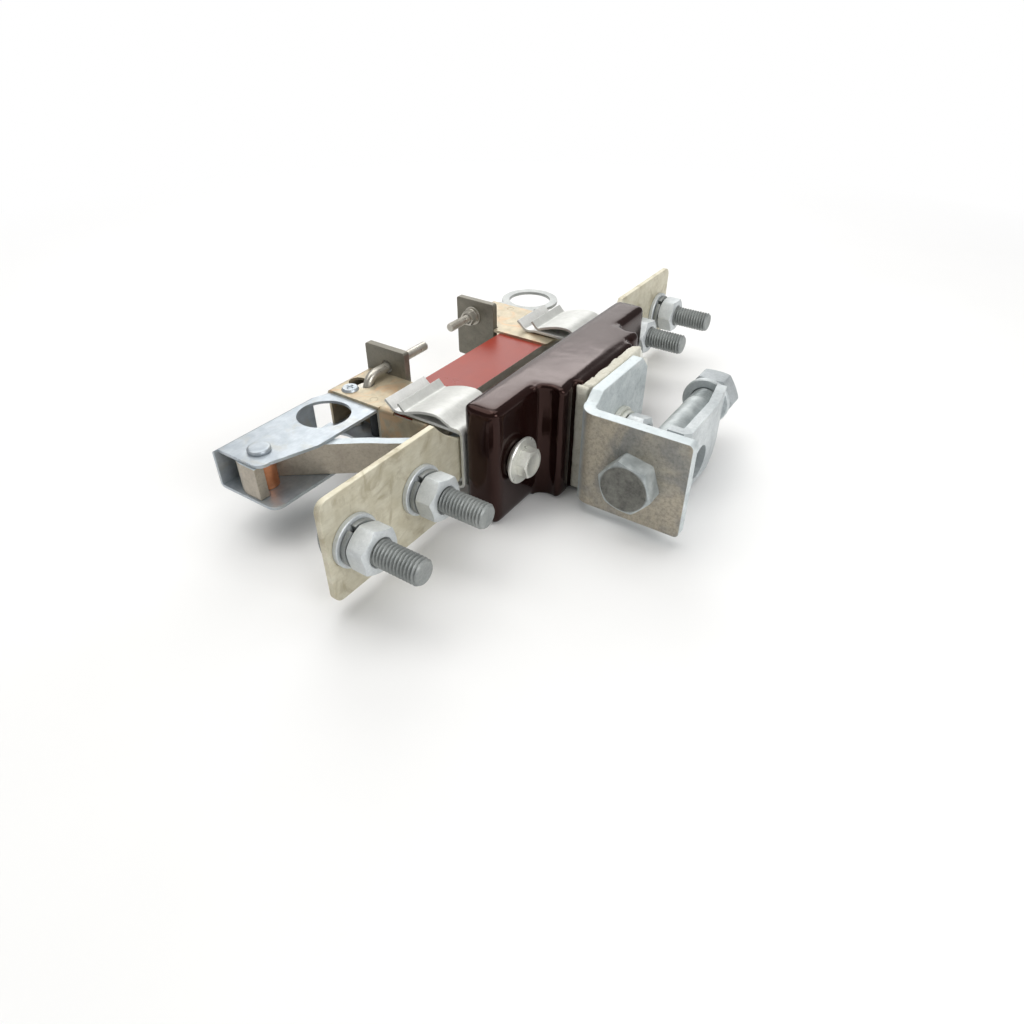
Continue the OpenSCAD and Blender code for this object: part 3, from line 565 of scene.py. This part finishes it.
def hexagon(mesh, af, h, mat, bore=0.0, both=True, crown=0.0):
    """Hexagon with chamfered corners: a nut when bore is set, else a bolt head."""
    rings = []
    tot = 6 * SIDE_STEPS
    corner = af / math.sqrt(3) * CORNER_SHARE
    flat = af / 2 * FACE_SHARE
    slope = math.tan(math.radians(CHAMFER_DEG))

    def rad(i):
        a = (i % SIDE_STEPS) / SIDE_STEPS * math.pi / 3 - math.pi / 6
        return min(af / 2 / math.cos(a), corner)

    def circle(r, z):
        rings.append([around(r, 2 * math.pi * i / tot, z) for i in range(tot)])

    def sides(zf):
        rings.append([around(rad(i), 2 * math.pi * i / tot, zf(i)) for i in range(tot)])

    if bore > 0:
        circle(bore, BORE_DEEP)
        circle(bore + BORE_EDGE, 0.0)
    if both:
        circle(flat, 0.0)
        sides(lambda i: (rad(i) - flat) * slope)
    else:
        sides(lambda i: 0.0)
    sides(lambda i: h - (rad(i) - flat) * slope)
    circle(flat, h)
    if bore > 0:
        circle(bore + BORE_EDGE, h)
        circle(bore, h - BORE_DEEP)
    elif crown > 0:
        circle(flat * 0.8, h - crown * 0.3)
        circle(flat * 0.72, h - crown)
    verts = [p for r in rings for p in r]
    faces = []
    last = len(rings) - 1
    for k in range(last):
        for i in range(tot):
            j = (i + 1) % tot
            faces.append([k * tot + i, k * tot + j, (k + 1) * tot + j, (k + 1) * tot + i])
    if bore > 0:
        for i in range(tot):
            j = (i + 1) % tot
            faces.append([last * tot + i, last * tot + j, j, i])
    else:
        faces.append(list(range(tot))[::-1])
        faces.append([last * tot + i for i in range(tot)])
    mesh.add(verts, faces, mat)


THREAD_STEPS = 8       # rows for each turn
THREAD_DEPTH = 0.6     # share of the pitch
CREST = 0.12           # share of a half turn that is flat at crest and root
TIP_SLOPE = 0.85


def thread(mesh, size, length, place, plain, tip=1.2, n=40):
    """Threaded rod along local Z, plain at its start, with a chamfered tip."""
    r = size.r
    pitch = size.pitch
    deep = pitch * THREAD_DEPTH
    rows = max(2, int(length / (pitch / THREAD_STEPS))) + 1
    verts = []
    faces = []
    for k in range(rows):
        z = length * k / (rows - 1)
        left = length - z
        for i in range(n):
            a = i / n
            phase = (z / pitch - a) % 1.0
            w = abs(phase - 0.5) * 2.0
            w = min(1.0, max(0.0, (w - CREST) / (1.0 - 2 * CREST)))
            rr = r if z < plain else r - deep * (1.0 - w)
            if left < tip:
                rr = min(rr, r - (tip - left) * TIP_SLOPE)
            verts.append(around(rr, 2 * math.pi * a, z))
    for k in range(rows - 1):
        for i in range(n):
            j = (i + 1) % n
            faces.append([k * n + i, k * n + j, (k + 1) * n + j, (k + 1) * n + i])
    last = (rows - 1) * n
    tip_point = len(verts)
    verts.append((0.0, 0.0, (length - 0.1) * MM))
    for i in range(n):
        faces.append([last + i, last + (i + 1) % n, tip_point])
    foot_point = len(verts)
    verts.append((0.0, 0.0, 0.0))
    for i in range(n):
        faces.append([(i + 1) % n, i, foot_point])
    mesh.add(verts, faces, place)


WASHER_STEPS = 56
BORE_CHAMFER = 0.15


def washer(mesh, ro, ri, h, place, edge=0.35):
    """Flat washer of height h with its outer edges and the bore's upper edge broken."""
    profile = [(ri, 0.0), (ro - edge, 0.0), (ro, edge), (ro, h - edge), (ro - edge, h),
               (ri + BORE_CHAMFER, h), (ri, h - BORE_CHAMFER)]
    lathe(mesh, profile, place, WASHER_STEPS)


SPLIT_GAP_DEG = 14.0
SPLIT_STEPS = 52
SPLIT_SECTION = 1.35   # height that the section below is drawn with


def split_washer(mesh, ro, ri, h, mat, rise=0.5):
    """Spring washer: an open ring that climbs by the rise over one turn."""
    sec = [(ri, 0.25), (ri + 0.2, 0.0), (ro - 0.35, 0.0), (ro, 0.35),
           (ro, 1.0), (ro - 0.35, SPLIT_SECTION), (ri + 0.2, SPLIT_SECTION), (ri, 1.1)]
    thick = h - rise
    verts = []
    faces = []
    k = len(sec)
    for i in range(SPLIT_STEPS + 1):
        f = i / SPLIT_STEPS
        a = math.radians(SPLIT_GAP_DEG / 2 + (360.0 - SPLIT_GAP_DEG) * f)
        verts.extend(around(r, a, z / SPLIT_SECTION * thick + rise * (1.0 - f)) for r, z in sec)
    for i in range(SPLIT_STEPS):
        for q in range(k):
            w = (q + 1) % k
            faces.append([i * k + q, (i + 1) * k + q, (i + 1) * k + w, i * k + w])
    faces.append(list(range(k)))
    faces.append([SPLIT_STEPS * k + q for q in range(k)][::-1])
    mesh.add(verts, faces, mat)


# Porcelain and cement

GLAZE_VOXEL_M = 0.0008        # metres
GLAZE_SMOOTH = 24

CEMENT_VOXEL_M = 0.0007       # metres
CEMENT_X = (30.8, 37.8)       # the bed's edge is rough between these
CEMENT_FADE_M = 0.0012        # metres
CEMENT_ROUGH_M = 0.0011       # metres
CEMENT_SHRINK_M = 0.0002      # metres
BEAD = (31.8, 37.95, -28.6, -25.0, 2.0, 60.0)
BEAD_Y = -25.8                # the bead is smoother than the rest beyond this
BEAD_ROUGH = 0.4


def remesh(ob, voxel):
    rm = ob.modifiers.new("remesh", "REMESH")
    rm.mode = "VOXEL"
    rm.voxel_size = voxel


def make_insulator():
    """The porcelain with the soft edges of a glazed casting."""
    ob = copy_node("insulator", "insulator_glazed")
    remesh(ob, GLAZE_VOXEL_M)
    sm = ob.modifiers.new("smooth", "SMOOTH")
    sm.factor = 0.5
    sm.iterations = GLAZE_SMOOTH
    bake(ob)
    for p in ob.data.polygons:
        p.use_smooth = True
    paint(ob, "porcelain")
    finish_piece(ob, "base", "insulator")


def make_cement():
    """The bed with a rough edge and a bead squeezed out over the near side of the boss."""
    ob = copy_node("cement_pad", "cement_bed")
    unite(ob, block(*BEAD))
    remesh(ob, CEMENT_VOXEL_M)
    bake(ob)
    x_in = P(CEMENT_X[0], 0, 0).x
    x_out = P(CEMENT_X[1], 0, 0).x
    y_bead = P(0, BEAD_Y, 0).y
    for v in ob.data.vertices:
        c = v.co
        if x_in < c.x < x_out:
            q = noise.noise(c * 260.0) + 0.5 * noise.noise(c * 700.0)
            if c.y < y_bead:
                q *= BEAD_ROUGH
            t = min(1.0, min(c.x - x_in, x_out - c.x) / CEMENT_FADE_M)
            out = Vector((0.0, c.y, c.z - MID_Z * MM)).normalized()
            v.co = c + out * (q * CEMENT_ROUGH_M * t - CEMENT_SHRINK_M)
    for p in ob.data.polygons:
        p.use_smooth = True
    paint(ob, "cement")
    finish_piece(ob, "base", "cement_pad")


make_insulator()
make_cement()


# Plates, straps and strips: node, body, slot, material, rounding of the edges, steps in it

PLATES = (
    ("mounting_bracket", "base", GALV, "galv", 0.6, 3),
    ("clamp_strap", "clamp", "galvanised_strap", "galv_strap", 0.8, 3),
    ("lower_terminal", "base", "tinned_plate", "tin_plate", 0.35, 3),
    ("upper_terminal", "base", "tinned_plate", "tin_plate", 0.35, 3),
    ("lower_jaw", "base", "tinned_spring", "bright_spring", 0.18, 2),
    ("upper_jaw", "base", "tinned_spring", "bright_spring", 0.18, 2),
    ("lower_jaw_spring", "base", "tinned_spring", "tin_spring", 0.22, 2),
    ("upper_jaw_spring", "base", "tinned_spring", "tin_spring", 0.22, 2),
    ("hinge_arm", "base", "weathered_bar", "arm", 0.4, 3),
    ("pivot_sleeve", "base", "copper", "copper", 0.15, 2),
    ("hinge_yoke", "carrier", "zinc_sheet", "zinc", 0.18, 2),
    ("lower_blade", "carrier", "yellow_contact", "yellow", 0.25, 2),
    ("upper_blade", "carrier", "yellow_contact", "yellow", 0.25, 2),
    ("carrier_board", "carrier", "red_fibre", "board", 0.7, 3),
    ("lower_tag", "carrier", "grey_tag", "tag", 0.35, 3),
    ("upper_tag", "carrier", "grey_tag", "tag", 0.35, 3),
    ("pull_ring", "carrier", "zinc_sheet", "ring", 0.25, 2),
    ("hook_rod", "carrier", SMALL, "nickel", 0.3, 2),
    ("pivot_rivet", "carrier", "zinc_sheet", "zinc", 0.5, 3),
    ("yoke_rivet", "carrier", "yellow_contact", "yellow", 0.2, 2),
    ("board_rivets", "carrier", "yellow_contact", "yellow", 0.2, 2),
    ("ring_rivets", "carrier", "yellow_contact", "yellow", 0.3, 2),
    ("yoke_spacer", "carrier", "dark_tube", "tube", 0.2, 2),
    ("yoke_screws", "carrier", "zinc_sheet", "zinc", 0.2, 2),
)

for plate in PLATES:
    dress(*plate)


# Bolts, nuts and washers, in the places that the part's source gives them

# Radius, pitch and width across flats of a thread, height and crown of its head, height of its nut
Thread = namedtuple("Thread", "r pitch af head_h crown nut_h")
M5 = Thread(2.5, 0.8, 8.0, 3.5, 0.0, 4.0)
M8 = Thread(4.0, 1.25, 13.0, 5.5, 0.5, 6.5)
M12 = Thread(6.0, 1.75, 19.2, 7.5, 0.4, 9.6)
M12_NARROW = M12._replace(af=19.0)
M16 = Thread(8.0, 2.0, 24.0, 10.0, 0.4, 12.8)
NUT_PLAY = 0.05                  # a nut's bore radius beyond its thread's

# Outer radius, bore radius and height of a washer
M5_WASHER = (5.5, 2.7, 1.0)
M5_LOCK = (4.6, 2.65, 1.4)
M8_WASHER = (11.5, 4.3, 1.5)
M8_LOCK = (9.4, 4.2, 2.5)
M12_WASHER = (12.0, 6.5, 2.5)
M12_LOCK = (10.5, 6.2, 3.0)
M16_WASHER = (12.9, 8.5, 3.0)

TERMINAL_Y = (-146.0, -104.0, 104.0, 146.0)
TERMINAL_BACK_X = -6.0           # the side of the terminal plate that the heads lie on
TERMINAL_FRONT_X = -3.0
TERMINAL_BOLT_L = 40.0
TERMINAL_PLAIN = 3.2
BRACKET_STUD_X = 25.0
BRACKET_STUD_Y = -7.75
BRACKET_STUD_L = 37.5
BRACKET_PLAIN = 15.0
BRACKET_FACE_X = 46.0
COLLAR = (5.9, 9.0, 5.0)         # inner radius, outer radius, height
CLAMP_X = 71.5
CLAMP_Z = 29.55
CLAMP_HEAD_Y = -42.5             # underside of the head
CLAMP_END_Y = 69.5
CLAMP_PLAIN = 78.0
CLAMP_WASHER_Y = 45.5
CLAMP_NUT_Y = 48.5
CONTACT_Y = 59.0
CONTACT_LOCK_X = 19.0
CONTACT_WASHER_X = 21.5
CONTACT_HEAD_X = 23.0
CONTACT_NUT_X = {-1: -17.5, 1: -12.5}
CONTACT_BOLT_L = 43.0
LINK_X = -76.0
LINK_Z = 47.5
LINK_NUT_Y = 30.6
LINK_LOCK_Y = 34.6
LINK_WASHER_Y = 36.0
LINK_HEAD_Y = 41.0               # underside of the head
LINK_BOLT_L = 27.0
SMALL_PLAIN = 4.0                # plain part under the heads of the M5 and M8 bolts
YOKE_SCREW = (-78.0, -67.5)
YOKE_NUT_OFF = 4.5               # from the middle plane


def head(mesh, size, place):
    hexagon(mesh, size.af, size.head_h, place, both=False, crown=size.crown)


def nut(mesh, size, place):
    hexagon(mesh, size.af, size.nut_h, place, bore=size.r + NUT_PLAY)


def m12_stack(flats, locks, nuts, size, x, y, lock_turn, nut_turn):
    """Flat washer, spring washer and nut of one M12 thread, from x outwards."""
    washer(flats, *M12_WASHER, along_x(x, y))
    x += M12_WASHER[2]
    split_washer(locks, *M12_LOCK, along_x(x, y, lock_turn))
    x += M12_LOCK[2]
    nut(nuts, size, along_x(x, y, nut_turn))


# The last value of a place is its turn in degrees: how the flats, threads and splits lie.

def make_terminal_hardware():
    bolts, flats, locks, nuts = Mesh(), Mesh(), Mesh(), Mesh()
    for k, y in enumerate(TERMINAL_Y):
        head(bolts, M12, along_x(TERMINAL_BACK_X, y, 180) @ FLIP)
        thread(bolts, M12, TERMINAL_BOLT_L, along_x(TERMINAL_BACK_X, y, 37 * k), TERMINAL_PLAIN)
        m12_stack(flats, locks, nuts, M12, TERMINAL_FRONT_X, y, 200 + 5 * k, 8 + 7 * k)
    finish_mesh(bolts, "terminal_bolts_threaded", "galv_thread", "base", "terminal_bolts")
    finish_mesh(flats, "terminal_washers_flat", "galv_nut", "base", "terminal_washers")
    finish_mesh(locks, "terminal_washers_split", "galv_thread", "base", "terminal_lock_washers")
    finish_mesh(nuts, "terminal_nuts_hex", "galv_nut", "base", "terminal_nuts")


def make_bracket_hardware():
    studs, flats, locks, nuts = Mesh(), Mesh(), Mesh(), Mesh()
    place = along_x(BRACKET_STUD_X, BRACKET_STUD_Y)
    inner, outer, height = COLLAR
    thread(studs, M12, BRACKET_STUD_L, place, BRACKET_PLAIN)
    lathe(studs, [(inner, 0.0), (outer, 0.0), (outer, height), (inner, height)], place)
    m12_stack(flats, locks, nuts, M12_NARROW, BRACKET_FACE_X, BRACKET_STUD_Y, 250, 10)
    finish_mesh(studs, "bracket_stud_threaded", "galv_thread", "base", "bracket_stud")
    finish_mesh(flats, "bracket_washer_flat", "galv_pale", "base", "bracket_washer")
    finish_mesh(locks, "bracket_washer_split", "galv_pale", "base", "bracket_lock_washer")
    finish_mesh(nuts, "bracket_nut_hex", "galv_nut", "base", "bracket_nut")


def make_clamp_hardware():
    bolts, flats, nuts = Mesh(), Mesh(), Mesh()
    length = CLAMP_END_Y - CLAMP_HEAD_Y
    head(bolts, M16, along_y(CLAMP_X, CLAMP_HEAD_Y, CLAMP_Z, 11) @ FLIP)
    thread(bolts, M16, length, along_y(CLAMP_X, CLAMP_HEAD_Y, CLAMP_Z), CLAMP_PLAIN, tip=1.6, n=48)
    washer(flats, *M16_WASHER, along_y(CLAMP_X, CLAMP_WASHER_Y, CLAMP_Z), 0.6)
    nut(nuts, M16, along_y(CLAMP_X, CLAMP_NUT_Y, CLAMP_Z))
    finish_mesh(bolts, "clamp_bolt_threaded", "galv_head", "base", "clamp_bolt")
    finish_mesh(flats, "clamp_washer_flat", "galv_strap", "clamp", "clamp_washer")
    finish_mesh(nuts, "clamp_nut_hex", "galv_dull", "clamp_screw", "clamp_nut")


def make_contact_hardware():
    bolts, flats, locks, nuts = Mesh(), Mesh(), Mesh(), Mesh()
    for side in (-1, 1):
        y = CONTACT_Y * side
        head(bolts, M8, along_x(CONTACT_HEAD_X, y, 18))
        thread(bolts, M8, CONTACT_BOLT_L, along_x(CONTACT_HEAD_X, y, 20) @ FLIP, SMALL_PLAIN, n=32)
        split_washer(locks, *M8_LOCK, along_x(CONTACT_LOCK_X, y, 150), 0.4)
        washer(flats, *M8_WASHER, along_x(CONTACT_WASHER_X, y))
        nut(nuts, M8, along_x(CONTACT_NUT_X[side], y))
    finish_mesh(bolts, "contact_bolts_threaded", "bright_zinc", "base", "contact_bolts")
    finish_mesh(flats, "contact_washers_flat", "bright_zinc", "base", "contact_washers")
    finish_mesh(locks, "contact_washers_split", "nickel", "base", "contact_lock_washers")
    finish_mesh(nuts, "contact_nuts_hex", "nickel", "base", "contact_nuts")


def make_link_hardware():
    bolts, flats, locks, nuts = Mesh(), Mesh(), Mesh(), Mesh()
    under = along_y(LINK_X, LINK_HEAD_Y, LINK_Z)
    head(bolts, M5, under)
    thread(bolts, M5, LINK_BOLT_L, under @ FLIP, SMALL_PLAIN, tip=0.5, n=28)
    washer(flats, *M5_WASHER, along_y(LINK_X, LINK_WASHER_Y, LINK_Z), 0.15)
    split_washer(locks, *M5_LOCK, along_y(LINK_X, LINK_LOCK_Y, LINK_Z, 100), 0.2)
    nut(nuts, M5, along_y(LINK_X, LINK_NUT_Y, LINK_Z))
    finish_mesh(bolts, "link_bolt_threaded", "nickel", "carrier", "link_bolt")
    finish_mesh(flats, "link_washer_flat", "nickel", "carrier", "link_washer")
    finish_mesh(locks, "link_washer_split", "nickel", "carrier", "link_lock_washer")
    finish_mesh(nuts, "link_nut_hex", "nickel", "carrier", "link_nut")


def make_yoke_nuts():
    nuts = Mesh()
    x, y = YOKE_SCREW
    upper = Matrix.Translation(P(x, y, MID_Z + YOKE_NUT_OFF))
    lower = Matrix.Translation(P(x, y, MID_Z - YOKE_NUT_OFF)) @ FLIP
    for place in (upper, lower):
        nut(nuts, M5, place)
    finish_mesh(nuts, "yoke_nuts_hex", "nickel", "carrier", "yoke_nuts")


make_terminal_hardware()
make_bracket_hardware()
make_clamp_hardware()
make_contact_hardware()
make_link_hardware()
make_yoke_nuts()


# Floor, world and lights: places and sizes in metres, power in watts

FLOOR_HALF = 6.0
FLOOR_FADE = (0.30, 0.75)     # distance at which the floor starts and ends to turn white
WORLD_LIGHT = 0.28            # strength that lights the switch
WORLD_SEEN = 1.0              # strength that the camera sees
AIM = (0.0, 0.0, 0.06)
SOFT = (1.0, 0.995, 0.985)

# The sweep behind is dimmer near the floor, so that the glazed top reads as one even tone.
LIGHTS = (
    ("sweep_high", (-0.78, 0.84, 0.90), (0.9, 0.50), 5.0, SOFT),
    ("sweep_mid", (-0.62, 1.02, 0.57), (0.9, 0.24), 1.2, SOFT),
    ("sweep_low", (-0.45, 1.12, 0.32), (1.0, 0.30), 1.1, SOFT),
    ("top", (-0.06, 0.26, 1.15), (1.1, 0.9), 6.5, SOFT),
    ("key", (-0.46, -0.26, 0.98), (0.9, 0.8), 4.8, (1.0, 0.99, 0.97)),
    ("side", (0.95, -0.25, 0.55), (0.7, 0.5), 6.0, (0.99, 0.995, 1.0)),
)


def floor_material():
    """Matt pale floor that keeps the shadow near the switch and fades into white far from it."""
    m = Mat("floor_pale")
    tone = m.span(m.noise(9, 3, 0.5), 0.0, 1.0, 0.3, 0.7)
    m.done(m.mix(tone, (0.80, 0.80, 0.795, 1.0), (0.82, 0.82, 0.815, 1.0)), 0.75, 0.0, spec=0.2)
    length = m.node("ShaderNodeVectorMath", operation="LENGTH")
    m.link(m.co, length.inputs[0])
    far = m.span(length.outputs["Value"], 0.0, 1.0, *FLOOR_FADE)
    lp = m.node("ShaderNodeLightPath")
    seen = m.math("MAXIMUM", lp.outputs["Is Camera Ray"], lp.outputs["Is Glossy Ray"])
    glow = m.node("ShaderNodeEmission")
    glow.inputs["Color"].default_value = (1.0, 1.0, 1.0, 1.0)
    glow.inputs["Strength"].default_value = 1.0
    both = m.node("ShaderNodeMixShader")
    m.link(m.math("MULTIPLY", far, seen), both.inputs[0])
    m.link(m.b.outputs[0], both.inputs[1])
    m.link(glow.outputs[0], both.inputs[2])
    m.link(both.outputs[0], m.nt.nodes["Material Output"].inputs["Surface"])
    return m.m


def make_floor():
    me = bpy.data.meshes.new("floor")
    s = FLOOR_HALF
    me.from_pydata([(-s, -s, 0), (s, -s, 0), (s, s, 0), (-s, s, 0)], [], [[0, 1, 2, 3]])
    ob = bpy.data.objects.new("floor", me)
    bpy.context.scene.collection.objects.link(ob)
    me.materials.append(floor_material())


def make_world():
    world = bpy.data.worlds.new("studio")
    bpy.context.scene.world = world
    world.use_nodes = True
    nt = world.node_tree
    bg = nt.nodes["Background"]
    lp = nt.nodes.new("ShaderNodeLightPath")
    seen = nt.nodes.new("ShaderNodeMath")
    seen.operation = "MAXIMUM"
    nt.links.new(lp.outputs["Is Camera Ray"], seen.inputs[0])
    nt.links.new(lp.outputs["Is Transmission Ray"], seen.inputs[1])
    strength = nt.nodes.new("ShaderNodeMapRange")
    strength.inputs["To Min"].default_value = WORLD_LIGHT
    strength.inputs["To Max"].default_value = WORLD_SEEN
    nt.links.new(seen.outputs[0], strength.inputs["Value"])
    nt.links.new(strength.outputs["Result"], bg.inputs["Strength"])
    bg.inputs["Color"].default_value = (1.0, 1.0, 1.0, 1.0)


def make_light(name, place, size, power, color):
    li = bpy.data.lights.new(name, "AREA")
    li.shape = "RECTANGLE"
    li.size, li.size_y = size
    li.energy = power
    li.color = color
    ob = bpy.data.objects.new(name, li)
    ob.location = place
    ob.rotation_euler = (Vector(AIM) - Vector(place)).to_track_quat("-Z", "Y").to_euler()
    bpy.context.scene.collection.objects.link(ob)


make_floor()
make_world()
for light in LIGHTS:
    make_light(*light)
bpy.context.scene.view_settings.view_transform = "Standard"
